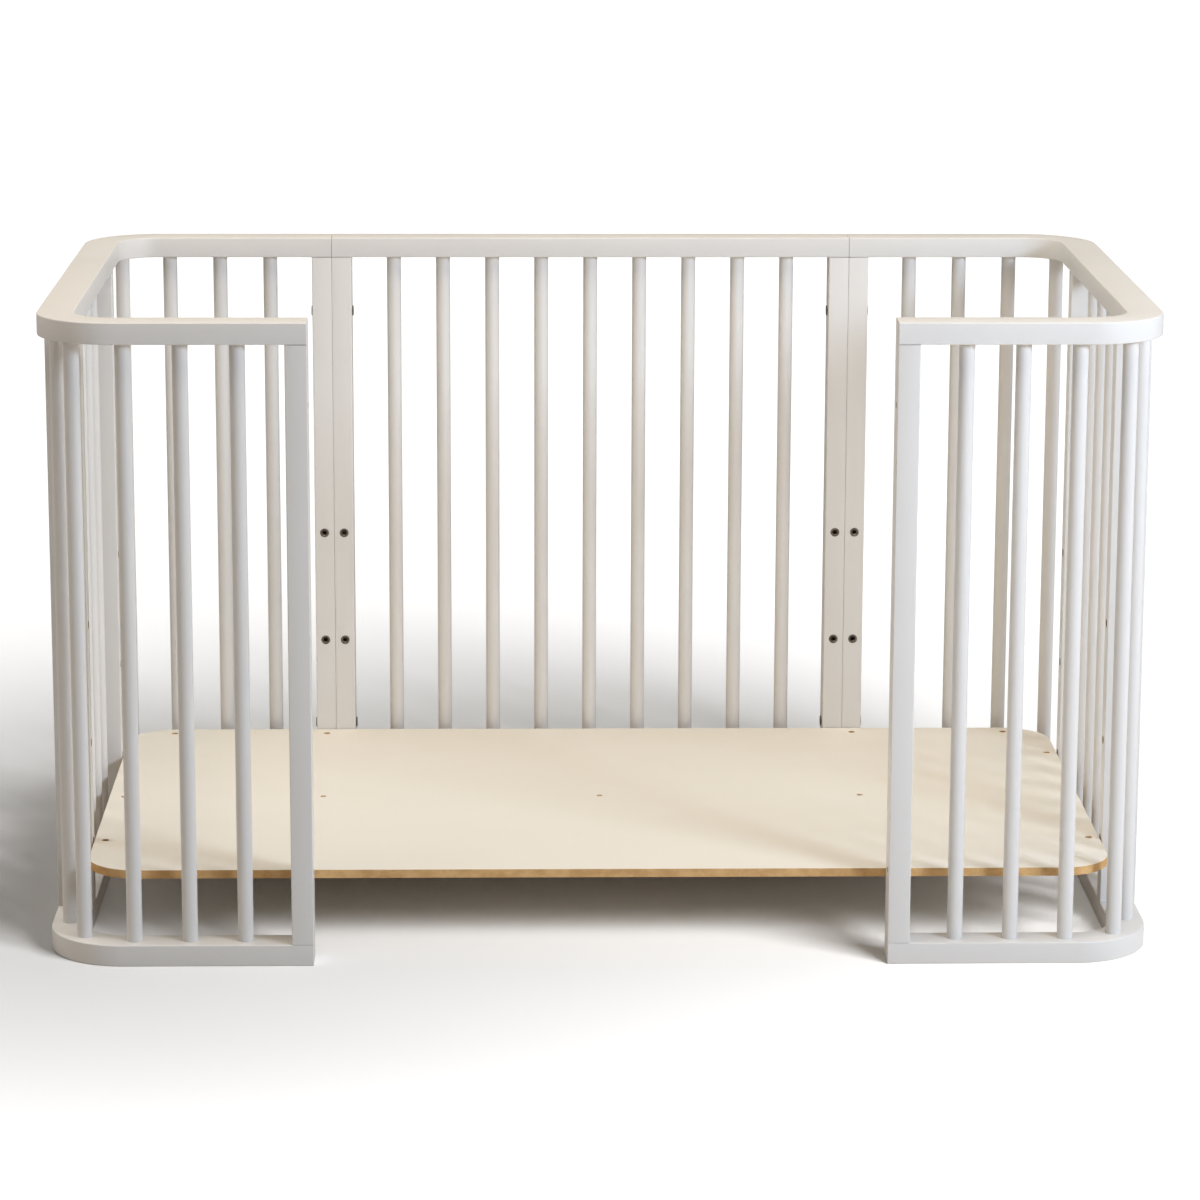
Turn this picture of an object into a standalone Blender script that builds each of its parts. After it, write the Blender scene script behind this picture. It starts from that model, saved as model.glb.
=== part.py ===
# Playpen with rounded corners, front centre panel taken off.
# Metres, +Z up, origin on the floor under the middle, front towards -Y.
import math

import bmesh
import bpy
from mathutils import Matrix, Vector

# Overall sizes
LENGTH = 1.280
WIDTH = 0.745
HEIGHT = 0.748
# Rails: flat timber, laid flat
RAIL_WIDTH = 0.042
RAIL_THICKNESS = 0.025
CORNER_RADIUS = 0.090
CORNER_STEPS = 8
# Panel that bolts between the two end frames
PANEL_LENGTH = 0.6615
POST_THICKNESS = 0.025
PANEL_SPINDLES = 9
# Spindles
SPINDLE_DIAMETER = 0.018
SPINDLE_SIDES = 12
SOCKET_DEPTH = 0.012
SOCKET_CLEARANCE = 0.0004
BEND_SPINDLES = 5
GAP_BESIDE_SEAM_POST = 0.045
GAP_BESIDE_SIDE_POST = 0.0535
SIDE_SPINDLES = 4
# Side posts stand in the short sides
SIDE_POST_FROM_LONG_SIDE = 0.1725
# Lying board and what is under it
BOARD_THICKNESS = 0.010
BOARD_UNDERSIDE = 0.0925
BOARD_CLEARANCE = 0.0015
BOARD_CORNER_RADIUS = 0.060
BOARD_HOLE_DIAMETER = 0.009
BOARD_HOLE_INSET_X = 0.0125
BOARD_HOLE_INSET_Y = 0.0210
BOARD_HOLE_FROM_SEAM = 0.0115
BOARD_OUTER_HOLE_INSET_X = 0.0565
BATTEN_END_INSET = 0.0065
BATTEN_WIDTH = 0.040
BATTEN_HEIGHT = 0.020
# Angle brackets under the board
BRACKET_WIDTH = 0.020
BRACKET_DROP = 0.025
BRACKET_REACH = 0.030
BRACKET_THICKNESS = 0.002
BRACKET_EMBED = 0.0005
# Height steps of the board, bored in the posts
STEP_HEIGHT = 0.142
POST_STEP_FIRST = 0.080
SIDE_STEP_HEIGHTS = (0.102, 0.222, 0.364)
INSERT_BORE_DIAMETER = 0.007
SIDE_HOLE_DIAMETER = 0.010
BLIND_DEPTH = 0.015
# Through bolts that hold a panel to an end frame
LOWER_SEAM_BOLT_HEIGHT = 0.107
UPPER_SEAM_BOLT_UNDER_RAIL = 0.0715
SEAM_BOLT_DIAMETER = 0.007
SEAM_BOLT_HEAD_DIAMETER = 0.013
SEAM_BOLT_HEAD_THICKNESS = 0.0015
SEAM_HOLE_CLEARANCE = 0.001
# Gap that touching pieces keep
GAP = 0.0003

HALF_LENGTH = LENGTH / 2
HALF_WIDTH = WIDTH / 2
SEAM_X = PANEL_LENGTH / 2
SEAM_POST_OUTER_X = SEAM_X + GAP / 2 + POST_THICKNESS
TOP_RAIL_FLOOR = HEIGHT - RAIL_THICKNESS
SEAM_BOLT_HEIGHTS = {
    "lower": LOWER_SEAM_BOLT_HEIGHT,
    "upper": TOP_RAIL_FLOOR - UPPER_SEAM_BOLT_UNDER_RAIL,
}
SIDE_POST_Y = HALF_WIDTH - SIDE_POST_FROM_LONG_SIDE
RAIL_CENTRE_Y = HALF_WIDTH - RAIL_WIDTH / 2
RAIL_CENTRE_X = HALF_LENGTH - RAIL_WIDTH / 2
INNER_X = HALF_LENGTH - RAIL_WIDTH
INNER_Y = HALF_WIDTH - RAIL_WIDTH
BOARD_HALF_X = INNER_X - BOARD_CLEARANCE
BOARD_HALF_Y = INNER_Y - BOARD_CLEARANCE
SIDES = {"left": -1, "right": 1}
ENDS = {"front": -1, "rear": 1}


def finish(name, colour, roughness, metallic):
    material = bpy.data.materials.new(name)
    material.use_nodes = True
    shader = material.node_tree.nodes["Principled BSDF"]
    shader.inputs["Base Color"].default_value = (*colour, 1)
    shader.inputs["Roughness"].default_value = roughness
    shader.inputs["Metallic"].default_value = metallic
    material.diffuse_color = (*colour, 1)
    return material


def add_object(name, mesh_builder, material=None):
    mesh = bpy.data.meshes.new(name)
    bmesh.ops.recalc_face_normals(mesh_builder, faces=mesh_builder.faces)
    mesh_builder.to_mesh(mesh)
    mesh_builder.free()
    thing = bpy.data.objects.new(name, mesh)
    bpy.context.scene.collection.objects.link(thing)
    if material:
        mesh.materials.append(material)
    return thing


def add_prism(mesh_builder, outline, bottom, top):
    # Closed solid from a plan outline between two heights
    lower = [mesh_builder.verts.new((x, y, bottom)) for x, y in outline]
    upper = [mesh_builder.verts.new((x, y, top)) for x, y in outline]
    mesh_builder.faces.new(lower[::-1])
    mesh_builder.faces.new(upper)
    for i in range(len(outline)):
        j = (i + 1) % len(outline)
        mesh_builder.faces.new((lower[i], lower[j], upper[j], upper[i]))


def add_rod(mesh_builder, start, end, diameter, sides=SPINDLE_SIDES):
    # Round bar between two points
    start = Vector(start)
    span = Vector(end) - start
    turn = Vector((0, 0, 1)).rotation_difference(span)
    place = Matrix.Translation(start + span / 2) @ turn.to_matrix().to_4x4()
    bmesh.ops.create_cone(mesh_builder, cap_ends=True, segments=sides, radius1=diameter / 2,
                          radius2=diameter / 2, depth=span.length, matrix=place)


def block_outline(x_low, x_high, y_low, y_high):
    return [(x_low, y_low), (x_high, y_low), (x_high, y_high), (x_low, y_high)]


def arc(centre, radius, from_angle, to_angle, steps):
    points = []
    for i in range(steps + 1):
        angle = from_angle + (to_angle - from_angle) * i / steps
        points.append((centre[0] + radius * math.cos(angle), centre[1] + radius * math.sin(angle)))
    return points


def bend_path(inset):
    # Path of a C shaped rail at a distance inside its outer face, right-hand end frame
    radius = CORNER_RADIUS - inset
    centre_x = HALF_LENGTH - CORNER_RADIUS
    centre_y = HALF_WIDTH - CORNER_RADIUS
    seam = SEAM_X + GAP / 2
    path = [(seam, inset - HALF_WIDTH)]
    path += arc((centre_x, -centre_y), radius, -math.pi / 2, 0, CORNER_STEPS)
    path += arc((centre_x, centre_y), radius, 0, math.pi / 2, CORNER_STEPS)
    path.append((seam, HALF_WIDTH - inset))
    return path


def rounded_outline(half_x, half_y, radius):
    outline = []
    for i, (sign_x, sign_y) in enumerate(((1, 1), (-1, 1), (-1, -1), (1, -1))):
        centre = (sign_x * (half_x - radius), sign_y * (half_y - radius))
        outline += arc(centre, radius, i * math.pi / 2, (i + 1) * math.pi / 2, CORNER_STEPS)
    return outline


def place_on_quarter(distance):
    # Point of the rail's centre line, a distance past the rear seam post and round the bend
    radius = CORNER_RADIUS - RAIL_WIDTH / 2
    centre_x = HALF_LENGTH - CORNER_RADIUS
    centre_y = HALF_WIDTH - CORNER_RADIUS
    past_start = distance - (centre_x - SEAM_POST_OUTER_X)
    past_end = past_start - radius * math.pi / 2
    if past_start < 0:
        return centre_x + past_start, RAIL_CENTRE_Y
    if past_end > 0:
        return RAIL_CENTRE_X, centre_y - past_end
    angle = math.pi / 2 - past_start / radius
    return centre_x + radius * math.cos(angle), centre_y + radius * math.sin(angle)


def quarter_length():
    # Length of that centre line, from the seam post round to the side post
    arm = HALF_LENGTH - CORNER_RADIUS - SEAM_POST_OUTER_X
    bend = (CORNER_RADIUS - RAIL_WIDTH / 2) * math.pi / 2
    side = HALF_WIDTH - CORNER_RADIUS - SIDE_POST_Y - POST_THICKNESS / 2
    return arm + bend + side


def end_frame_spindle_places():
    # Plan places in the right-hand end frame, from the front seam round to the rear one
    first = GAP_BESIDE_SEAM_POST + SPINDLE_DIAMETER / 2
    last = quarter_length() - GAP_BESIDE_SIDE_POST - SPINDLE_DIAMETER / 2
    pitch = (last - first) / (BEND_SPINDLES - 1)
    quarter = [place_on_quarter(first + pitch * i) for i in range(BEND_SPINDLES)]
    side_pitch = 2 * SIDE_POST_Y / (SIDE_SPINDLES + 1)
    side = [(RAIL_CENTRE_X, -SIDE_POST_Y + side_pitch * (i + 1)) for i in range(SIDE_SPINDLES)]
    front = [(x, -y) for x, y in quarter]
    return front + side + quarter[::-1]


def panel_spindle_places():
    # Equal gaps between the panel's two posts
    clear = PANEL_LENGTH - GAP - POST_THICKNESS * 2
    pitch = (clear + SPINDLE_DIAMETER) / (PANEL_SPINDLES + 1)
    middle = (PANEL_SPINDLES - 1) / 2
    return [((i - middle) * pitch, RAIL_CENTRE_Y) for i in range(PANEL_SPINDLES)]


def cut(target, mesh_builder, operation="DIFFERENCE"):
    # The tool stays in the file as a hidden wire object
    tool = add_object(target.name + "_tool", mesh_builder)
    tool.hide_render = True
    tool.display_type = "WIRE"
    modifier = target.modifiers.new("Cut", "BOOLEAN")
    modifier.object = tool
    modifier.operation = operation
    modifier.solver = "EXACT"


def bore_sockets(rail, places, mouth, direction):
    # Blind sockets for the spindles in the face of a rail
    sockets = bmesh.new()
    for x, y in places:
        start = (x, y, mouth - direction * SOCKET_DEPTH)
        end = (x, y, mouth + direction * SOCKET_DEPTH)
        add_rod(sockets, start, end, SPINDLE_DIAMETER + SOCKET_CLEARANCE * 2)
    cut(rail, sockets)


def make_rail_pair(prefix, outline, places, material):
    bottom = bmesh.new()
    add_prism(bottom, outline, 0, RAIL_THICKNESS)
    bore_sockets(add_object(prefix + "_bottom_rail", bottom, material), places, RAIL_THICKNESS, 1)
    top = bmesh.new()
    add_prism(top, outline, TOP_RAIL_FLOOR, HEIGHT)
    bore_sockets(add_object(prefix + "_top_rail", top, material), places, TOP_RAIL_FLOOR, -1)


def make_spindles(prefix, places, material):
    low = RAIL_THICKNESS - SOCKET_DEPTH + GAP
    high = TOP_RAIL_FLOOR + SOCKET_DEPTH - GAP
    for number, (x, y) in enumerate(places, 1):
        spindle = bmesh.new()
        add_rod(spindle, (x, y, low), (x, y, high), SPINDLE_DIAMETER)
        made = add_object(f"{prefix}_spindle_{number:02d}", spindle, material)
        made.data.shade_smooth()
        made.data.set_sharp_from_angle(angle=math.radians(40))


def make_post(name, outline, material):
    post = bmesh.new()
    add_prism(post, outline, RAIL_THICKNESS + GAP, TOP_RAIL_FLOOR - GAP)
    return add_object(name, post, material)


def make_seam_post(name, seam_face_x, away, end_sign, material):
    # Post beside a seam: bored along X for the seam bolts and inwards for the board's steps
    far_x = seam_face_x + away * POST_THICKNESS
    outline = block_outline(seam_face_x, far_x, end_sign * INNER_Y, end_sign * HALF_WIDTH)
    post = make_post(name, outline, material)
    bores = bmesh.new()
    through = away * POST_THICKNESS * 2
    for height in SEAM_BOLT_HEIGHTS.values():
        start = (seam_face_x - through, end_sign * RAIL_CENTRE_Y, height)
        end = (seam_face_x + through, end_sign * RAIL_CENTRE_Y, height)
        add_rod(bores, start, end, SEAM_BOLT_DIAMETER + SEAM_HOLE_CLEARANCE)
    middle_x = (seam_face_x + far_x) / 2
    for step in range(3):
        height = POST_STEP_FIRST + STEP_HEIGHT * step
        start = (middle_x, end_sign * (INNER_Y - BLIND_DEPTH), height)
        end = (middle_x, end_sign * (INNER_Y + BLIND_DEPTH), height)
        add_rod(bores, start, end, INSERT_BORE_DIAMETER)
    cut(post, bores)


def make_side_post(name, side_sign, end_sign, material):
    # Post in a short side, with plain holes that face inwards
    y = end_sign * SIDE_POST_Y
    half = POST_THICKNESS / 2
    outline = block_outline(side_sign * INNER_X, side_sign * HALF_LENGTH, y - half, y + half)
    post = make_post(name, outline, material)
    bores = bmesh.new()
    for height in SIDE_STEP_HEIGHTS:
        start = (side_sign * (INNER_X - BLIND_DEPTH), y, height)
        end = (side_sign * (INNER_X + BLIND_DEPTH), y, height)
        add_rod(bores, start, end, SIDE_HOLE_DIAMETER)
    cut(post, bores)


def make_end_frame(side, sign, material):
    outline = bend_path(0) + bend_path(RAIL_WIDTH)[::-1]
    outline = [(sign * x, y) for x, y in outline]
    places = [(sign * x, y) for x, y in end_frame_spindle_places()]
    make_rail_pair(side, outline, places, material)
    make_spindles(side, places, material)
    for end, end_sign in ENDS.items():
        seam_face = sign * (SEAM_X + GAP / 2)
        make_seam_post(f"{side}_{end}_post", seam_face, sign, end_sign, material)
        make_side_post(f"{side}_side_post_{end}", sign, end_sign, material)


def make_rear_panel(material):
    half = SEAM_X - GAP / 2
    outline = block_outline(-half, half, INNER_Y, HALF_WIDTH)
    places = panel_spindle_places()
    make_rail_pair("rear_panel", outline, places, material)
    make_spindles("rear_panel", places, material)
    for side, sign in SIDES.items():
        make_seam_post(f"rear_panel_post_{side}", sign * half, -sign, 1, material)


def make_seam_bolts(material):
    # Bolt and sleeve nut, drawn tight, with a flat head on each post
    reach = POST_THICKNESS + GAP / 2 + GAP
    head = reach + SEAM_BOLT_HEAD_THICKNESS
    for side, sign in SIDES.items():
        for level, height in SEAM_BOLT_HEIGHTS.items():
            middle = Vector((sign * SEAM_X, RAIL_CENTRE_Y, height))
            along = Vector((1, 0, 0))
            bolt = bmesh.new()
            add_rod(bolt, middle - along * reach, middle + along * reach, SEAM_BOLT_DIAMETER)
            made = add_object(f"seam_bolt_{side}_{level}", bolt, material)
            heads = bmesh.new()
            for way in (-1, 1):
                inner = middle + along * way * reach
                outer = middle + along * way * head
                add_rod(heads, inner - along * way * GAP / 2, outer, SEAM_BOLT_HEAD_DIAMETER)
            cut(made, heads, "UNION")


def bracket_profile():
    # L section: distance in from the post's face, height over the board's underside
    back = GAP
    front = GAP + BRACKET_THICKNESS
    tip = GAP + BRACKET_REACH
    lip = BOARD_CLEARANCE + BRACKET_THICKNESS / 2
    return [(back, -BRACKET_DROP), (front, -BRACKET_DROP), (front, -BRACKET_THICKNESS),
            (tip, -BRACKET_THICKNESS), (tip, BRACKET_EMBED), (lip, BRACKET_EMBED), (lip, 0), (back, 0)]


def add_bracket(mesh_builder, face_point, inward):
    # Extruded L section, centred on a post, with its leg along the post's face
    along = Vector((0, 0, 1)).cross(inward)
    rows = []
    for way in (-1, 1):
        row = []
        for distance, height in bracket_profile():
            point = face_point + inward * distance + along * way * BRACKET_WIDTH / 2
            row.append(mesh_builder.verts.new(point + Vector((0, 0, BOARD_UNDERSIDE + height))))
        rows.append(row)
    mesh_builder.faces.new(rows[0])
    mesh_builder.faces.new(rows[1][::-1])
    for i in range(len(rows[0])):
        j = (i + 1) % len(rows[0])
        mesh_builder.faces.new((rows[0][j], rows[0][i], rows[1][i], rows[1][j]))


def board_holes():
    near_seam = SEAM_X + BOARD_HOLE_FROM_SEAM
    hole_y = BOARD_HALF_Y - BOARD_HOLE_INSET_Y
    places = []
    for sx in SIDES.values():
        for sy in ENDS.values():
            places.append((sx * (BOARD_HALF_X - BOARD_HOLE_INSET_X), sy * SIDE_POST_Y))
            places.append((sx * near_seam, sy * hole_y))
            places.append((sx * (BOARD_HALF_X - BOARD_OUTER_HOLE_INSET_X), sy * hole_y))
    return places


def make_board(material):
    board = bmesh.new()
    outline = rounded_outline(BOARD_HALF_X, BOARD_HALF_Y, BOARD_CORNER_RADIUS)
    add_prism(board, outline, BOARD_UNDERSIDE, BOARD_UNDERSIDE + BOARD_THICKNESS)
    made = add_object("base_board", board, material)
    brackets = bmesh.new()
    post_x = SEAM_X + (GAP + POST_THICKNESS) / 2
    for sx in SIDES.values():
        for sy in ENDS.values():
            add_bracket(brackets, Vector((sx * INNER_X, sy * SIDE_POST_Y, 0)), Vector((-sx, 0, 0)))
            add_bracket(brackets, Vector((sx * post_x, sy * INNER_Y, 0)), Vector((0, -sy, 0)))
    cut(made, brackets, "UNION")
    holes = bmesh.new()
    for x, y in board_holes():
        low = BOARD_UNDERSIDE - BRACKET_DROP
        high = BOARD_UNDERSIDE + BOARD_THICKNESS * 2
        add_rod(holes, (x, y, low), (x, y, high), BOARD_HOLE_DIAMETER)
    cut(made, holes)


def make_batten(material):
    batten = bmesh.new()
    top = BOARD_UNDERSIDE - GAP
    half_length = BOARD_HALF_X - BATTEN_END_INSET
    outline = block_outline(-half_length, half_length, -BATTEN_WIDTH / 2, BATTEN_WIDTH / 2)
    add_prism(batten, outline, top - BATTEN_HEIGHT, top)
    add_object("board_batten", batten, material)


def main():
    for thing in list(bpy.data.objects):
        bpy.data.objects.remove(thing)
    white_paint = finish("white_paint", (0.80, 0.78, 0.75), 0.45, 0)
    board_laminate = finish("board_laminate", (0.76, 0.70, 0.58), 0.5, 0)
    raw_pine = finish("raw_pine", (0.60, 0.44, 0.26), 0.7, 0)
    zinc_steel = finish("zinc_steel", (0.45, 0.44, 0.42), 0.35, 1)
    for side, sign in SIDES.items():
        make_end_frame(side, sign, white_paint)
    make_rear_panel(white_paint)
    make_seam_bolts(zinc_steel)
    make_board(board_laminate)
    make_batten(raw_pine)


main()
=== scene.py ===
import math

import bmesh
import bpy
from mathutils import Matrix, Vector


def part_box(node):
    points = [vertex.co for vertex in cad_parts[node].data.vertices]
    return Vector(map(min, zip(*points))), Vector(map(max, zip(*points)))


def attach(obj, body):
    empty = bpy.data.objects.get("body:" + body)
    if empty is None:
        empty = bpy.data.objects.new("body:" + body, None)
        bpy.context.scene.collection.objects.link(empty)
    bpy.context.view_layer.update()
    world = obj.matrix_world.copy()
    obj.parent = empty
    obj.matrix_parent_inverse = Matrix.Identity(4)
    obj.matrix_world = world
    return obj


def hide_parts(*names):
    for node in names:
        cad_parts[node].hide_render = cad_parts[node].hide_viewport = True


# White lacquered playpen with round corners, front centre panel taken off.
# Metres, Z up, front towards -Y.

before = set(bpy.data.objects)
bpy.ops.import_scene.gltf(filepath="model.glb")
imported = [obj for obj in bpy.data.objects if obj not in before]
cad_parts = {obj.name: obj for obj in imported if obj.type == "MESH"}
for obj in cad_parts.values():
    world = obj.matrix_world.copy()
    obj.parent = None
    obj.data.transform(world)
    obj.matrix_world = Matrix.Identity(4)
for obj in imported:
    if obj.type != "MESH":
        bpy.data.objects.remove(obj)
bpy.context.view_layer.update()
scene = bpy.context.scene


cameraSetup = {
    "place": (-0.1109, -5.0706, 1.4799),
    "pan": -1.3193,        # degrees, + turns left
    "tilt": -12.578,       # degrees, below the horizon
    "roll": 0.189,
    "lens": 127.66,        # mm on a 36 mm sensor
}


def makeCamera(setup):
    lens = bpy.data.cameras.new("studioCamera")
    lens.lens = setup["lens"]
    lens.sensor_width = 36
    lens.clip_end = 200
    camera = bpy.data.objects.new("studioCamera", lens)
    scene.collection.objects.link(camera)
    pan = Matrix.Rotation(math.radians(setup["pan"]), 4, "Z")
    tilt = Matrix.Rotation(math.radians(90 + setup["tilt"]), 4, "X")
    roll = Matrix.Rotation(math.radians(setup["roll"]), 4, "Z")
    camera.matrix_world = Matrix.Translation(setup["place"]) @ pan @ tilt @ roll
    return camera


scene.camera = makeCamera(cameraSetup)
print("camera placed")


def addNode(tree, kind, **settings):
    # Settings that name an input go to the input, the others to the node
    node = tree.nodes.new(kind)
    for key, value in settings.items():
        if hasattr(node, key):
            setattr(node, key, value)
        else:
            node.inputs[key.replace("_", " ")].default_value = value
    return node


def newMaterial(name, viewColour):
    material = bpy.data.materials.new(name)
    material.use_nodes = True
    material.diffuse_color = (*viewColour, 1)
    tree = material.node_tree
    shader = tree.nodes["Principled BSDF"]
    return material, tree, shader


def newGroup(name, inputs, outputs):
    # inputs and outputs are {name: (socket type, start value)}
    tree = bpy.data.node_groups.new(name, "ShaderNodeTree")
    for way, sockets in (("INPUT", inputs), ("OUTPUT", outputs)):
        for label, (kind, start) in sockets.items():
            socket = tree.interface.new_socket(label, in_out=way, socket_type=kind)
            if start is not None:
                socket.default_value = start
    entry = tree.nodes.new("NodeGroupInput")
    leave = tree.nodes.new("NodeGroupOutput")
    return tree, entry, leave


def placeGroup(tree, group, **values):
    node = tree.nodes.new("ShaderNodeGroup")
    node.node_tree = group
    for key, value in values.items():
        node.inputs[key.replace("_", " ")].default_value = value
    return node


floatSocket, colourSocket, vectorSocket = "NodeSocketFloat", "NodeSocketColor", "NodeSocketVector"


def makeMottleGroup():
    # Slow drift between two tones, with a little speckle on top
    tree, entry, leave = newGroup(
        "toneMottle",
        {"Vector": (vectorSocket, None), "Tone A": (colourSocket, (0.8, 0.8, 0.8, 1)),
         "Tone B": (colourSocket, (0.7, 0.7, 0.7, 1)), "Drift Scale": (floatSocket, 4.0),
         "Speckle Scale": (floatSocket, 400.0), "Speckle": (floatSocket, 0.1)},
        {"Colour": (colourSocket, None), "Mask": (floatSocket, None)})
    link = tree.links.new
    drift = addNode(tree, "ShaderNodeTexNoise", Detail=4.0, Roughness=0.55)
    fine = addNode(tree, "ShaderNodeTexNoise", Detail=2.0, Roughness=0.6)
    centred = addNode(tree, "ShaderNodeMath", operation="SUBTRACT")
    centred.inputs[1].default_value = 0.5
    weight = addNode(tree, "ShaderNodeMath", operation="MULTIPLY")
    total = addNode(tree, "ShaderNodeMath", operation="ADD", use_clamp=True)
    ramp = addNode(tree, "ShaderNodeMapRange", interpolation_type="SMOOTHSTEP",
                   From_Min=0.3, From_Max=0.7)
    mix = addNode(tree, "ShaderNodeMix", data_type="RGBA")
    link(entry.outputs["Vector"], drift.inputs["Vector"])
    link(entry.outputs["Drift Scale"], drift.inputs["Scale"])
    link(entry.outputs["Vector"], fine.inputs["Vector"])
    link(entry.outputs["Speckle Scale"], fine.inputs["Scale"])
    link(fine.outputs["Fac"], centred.inputs[0])
    link(centred.outputs[0], weight.inputs[0])
    link(entry.outputs["Speckle"], weight.inputs[1])
    link(drift.outputs["Fac"], ramp.inputs["Value"])
    link(ramp.outputs["Result"], total.inputs[0])
    link(weight.outputs[0], total.inputs[1])
    link(total.outputs[0], mix.inputs["Factor"])
    link(entry.outputs["Tone A"], mix.inputs[6])
    link(entry.outputs["Tone B"], mix.inputs[7])
    link(mix.outputs[2], leave.inputs["Colour"])
    link(total.outputs[0], leave.inputs["Mask"])
    return tree


def makeGrainGroup():
    # Long fibres: noise drawn out along one axis by the Stretch input
    tree, entry, leave = newGroup(
        "woodFibre",
        {"Vector": (vectorSocket, None), "Stretch": (vectorSocket, (1.0, 20.0, 20.0)),
         "Scale": (floatSocket, 30.0), "Sharpness": (floatSocket, 0.2)},
        {"Fibre": (floatSocket, None), "Pore": (floatSocket, None)})
    link = tree.links.new
    stretch = addNode(tree, "ShaderNodeVectorMath", operation="MULTIPLY")
    fibre = addNode(tree, "ShaderNodeTexNoise", Detail=5.0, Roughness=0.65, Distortion=0.4)
    pore = addNode(tree, "ShaderNodeTexNoise", Detail=2.0, Roughness=0.5)
    finer = addNode(tree, "ShaderNodeMath", operation="MULTIPLY")
    finer.inputs[1].default_value = 3.5
    low = addNode(tree, "ShaderNodeMath", operation="SUBTRACT")
    low.inputs[0].default_value = 0.5
    high = addNode(tree, "ShaderNodeMath", operation="ADD")
    high.inputs[0].default_value = 0.5
    edge = addNode(tree, "ShaderNodeMapRange", interpolation_type="SMOOTHSTEP")
    dark = addNode(tree, "ShaderNodeMapRange", interpolation_type="SMOOTHSTEP",
                   From_Min=0.60, From_Max=0.72)
    link(entry.outputs["Vector"], stretch.inputs[0])
    link(entry.outputs["Stretch"], stretch.inputs[1])
    link(stretch.outputs[0], fibre.inputs["Vector"])
    link(stretch.outputs[0], pore.inputs["Vector"])
    link(entry.outputs["Scale"], fibre.inputs["Scale"])
    link(entry.outputs["Scale"], finer.inputs[0])
    link(finer.outputs[0], pore.inputs["Scale"])
    link(entry.outputs["Sharpness"], low.inputs[1])
    link(entry.outputs["Sharpness"], high.inputs[1])
    link(fibre.outputs["Fac"], edge.inputs["Value"])
    link(low.outputs[0], edge.inputs["From Min"])
    link(high.outputs[0], edge.inputs["From Max"])
    link(pore.outputs["Fac"], dark.inputs["Value"])
    link(edge.outputs["Result"], leave.inputs["Fibre"])
    link(dark.outputs["Result"], leave.inputs["Pore"])
    return tree


def makeSkinGroup():
    # Sprayed skin: orange peel with faint fibres that show through, and uneven sheen
    tree, entry, leave = newGroup(
        "sprayedSkin",
        {"Vector": (vectorSocket, None), "Peel Scale": (floatSocket, 260.0),
         "Fibre": (floatSocket, 0.0), "Fibre Share": (floatSocket, 0.3),
         "Rough Low": (floatSocket, 0.35), "Rough High": (floatSocket, 0.5)},
        {"Height": (floatSocket, None), "Roughness": (floatSocket, None)})
    link = tree.links.new
    peel = addNode(tree, "ShaderNodeTexNoise", Detail=2.0, Roughness=0.45)
    wide = addNode(tree, "ShaderNodeTexNoise", Scale=9.0, Detail=3.0, Roughness=0.6)
    shown = addNode(tree, "ShaderNodeMath", operation="MULTIPLY")
    height = addNode(tree, "ShaderNodeMath", operation="ADD")
    rough = addNode(tree, "ShaderNodeMapRange", From_Min=0.3, From_Max=0.7)
    link(entry.outputs["Vector"], peel.inputs["Vector"])
    link(entry.outputs["Vector"], wide.inputs["Vector"])
    link(entry.outputs["Peel Scale"], peel.inputs["Scale"])
    link(entry.outputs["Fibre"], shown.inputs[0])
    link(entry.outputs["Fibre Share"], shown.inputs[1])
    link(peel.outputs["Fac"], height.inputs[0])
    link(shown.outputs[0], height.inputs[1])
    link(wide.outputs["Fac"], rough.inputs["Value"])
    link(entry.outputs["Rough Low"], rough.inputs["To Min"])
    link(entry.outputs["Rough High"], rough.inputs["To Max"])
    link(height.outputs[0], leave.inputs["Height"])
    link(rough.outputs["Result"], leave.inputs["Roughness"])
    return tree


toneMottle = makeMottleGroup()
woodFibre = makeGrainGroup()
sprayedSkin = makeSkinGroup()
print("surface effects ready")


def addBump(tree, shader, heightSocket, depth, strength=1.0):
    bump = addNode(tree, "ShaderNodeBump", Strength=strength, Distance=depth)
    tree.links.new(heightSocket, bump.inputs["Height"])
    tree.links.new(bump.outputs["Normal"], shader.inputs["Normal"])


def makeLacquer(name, stretch, tones):
    # Satin lacquer over timber, fibres run along the stretched axis
    material, tree, shader = newMaterial(name, tones[0])
    link = tree.links.new
    coords = tree.nodes.new("ShaderNodeTexCoord").outputs["Object"]
    mottle = placeGroup(tree, toneMottle, Tone_A=(*tones[0], 1), Tone_B=(*tones[1], 1),
                        Drift_Scale=3.0, Speckle_Scale=650.0, Speckle=0.45)
    fibre = placeGroup(tree, woodFibre, Stretch=stretch, Scale=14.0, Sharpness=0.25)
    skin = placeGroup(tree, sprayedSkin, Peel_Scale=420.0, Fibre_Share=0.3,
                      Rough_Low=0.34, Rough_High=0.46)
    for group in (mottle, fibre, skin):
        link(coords, group.inputs["Vector"])
    link(fibre.outputs["Fibre"], skin.inputs["Fibre"])
    link(mottle.outputs["Colour"], shader.inputs["Base Color"])
    link(skin.outputs["Roughness"], shader.inputs["Roughness"])
    addBump(tree, shader, skin.outputs["Height"], 0.00012, 0.5)
    shader.inputs["Specular IOR Level"].default_value = 0.42
    return material


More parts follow.
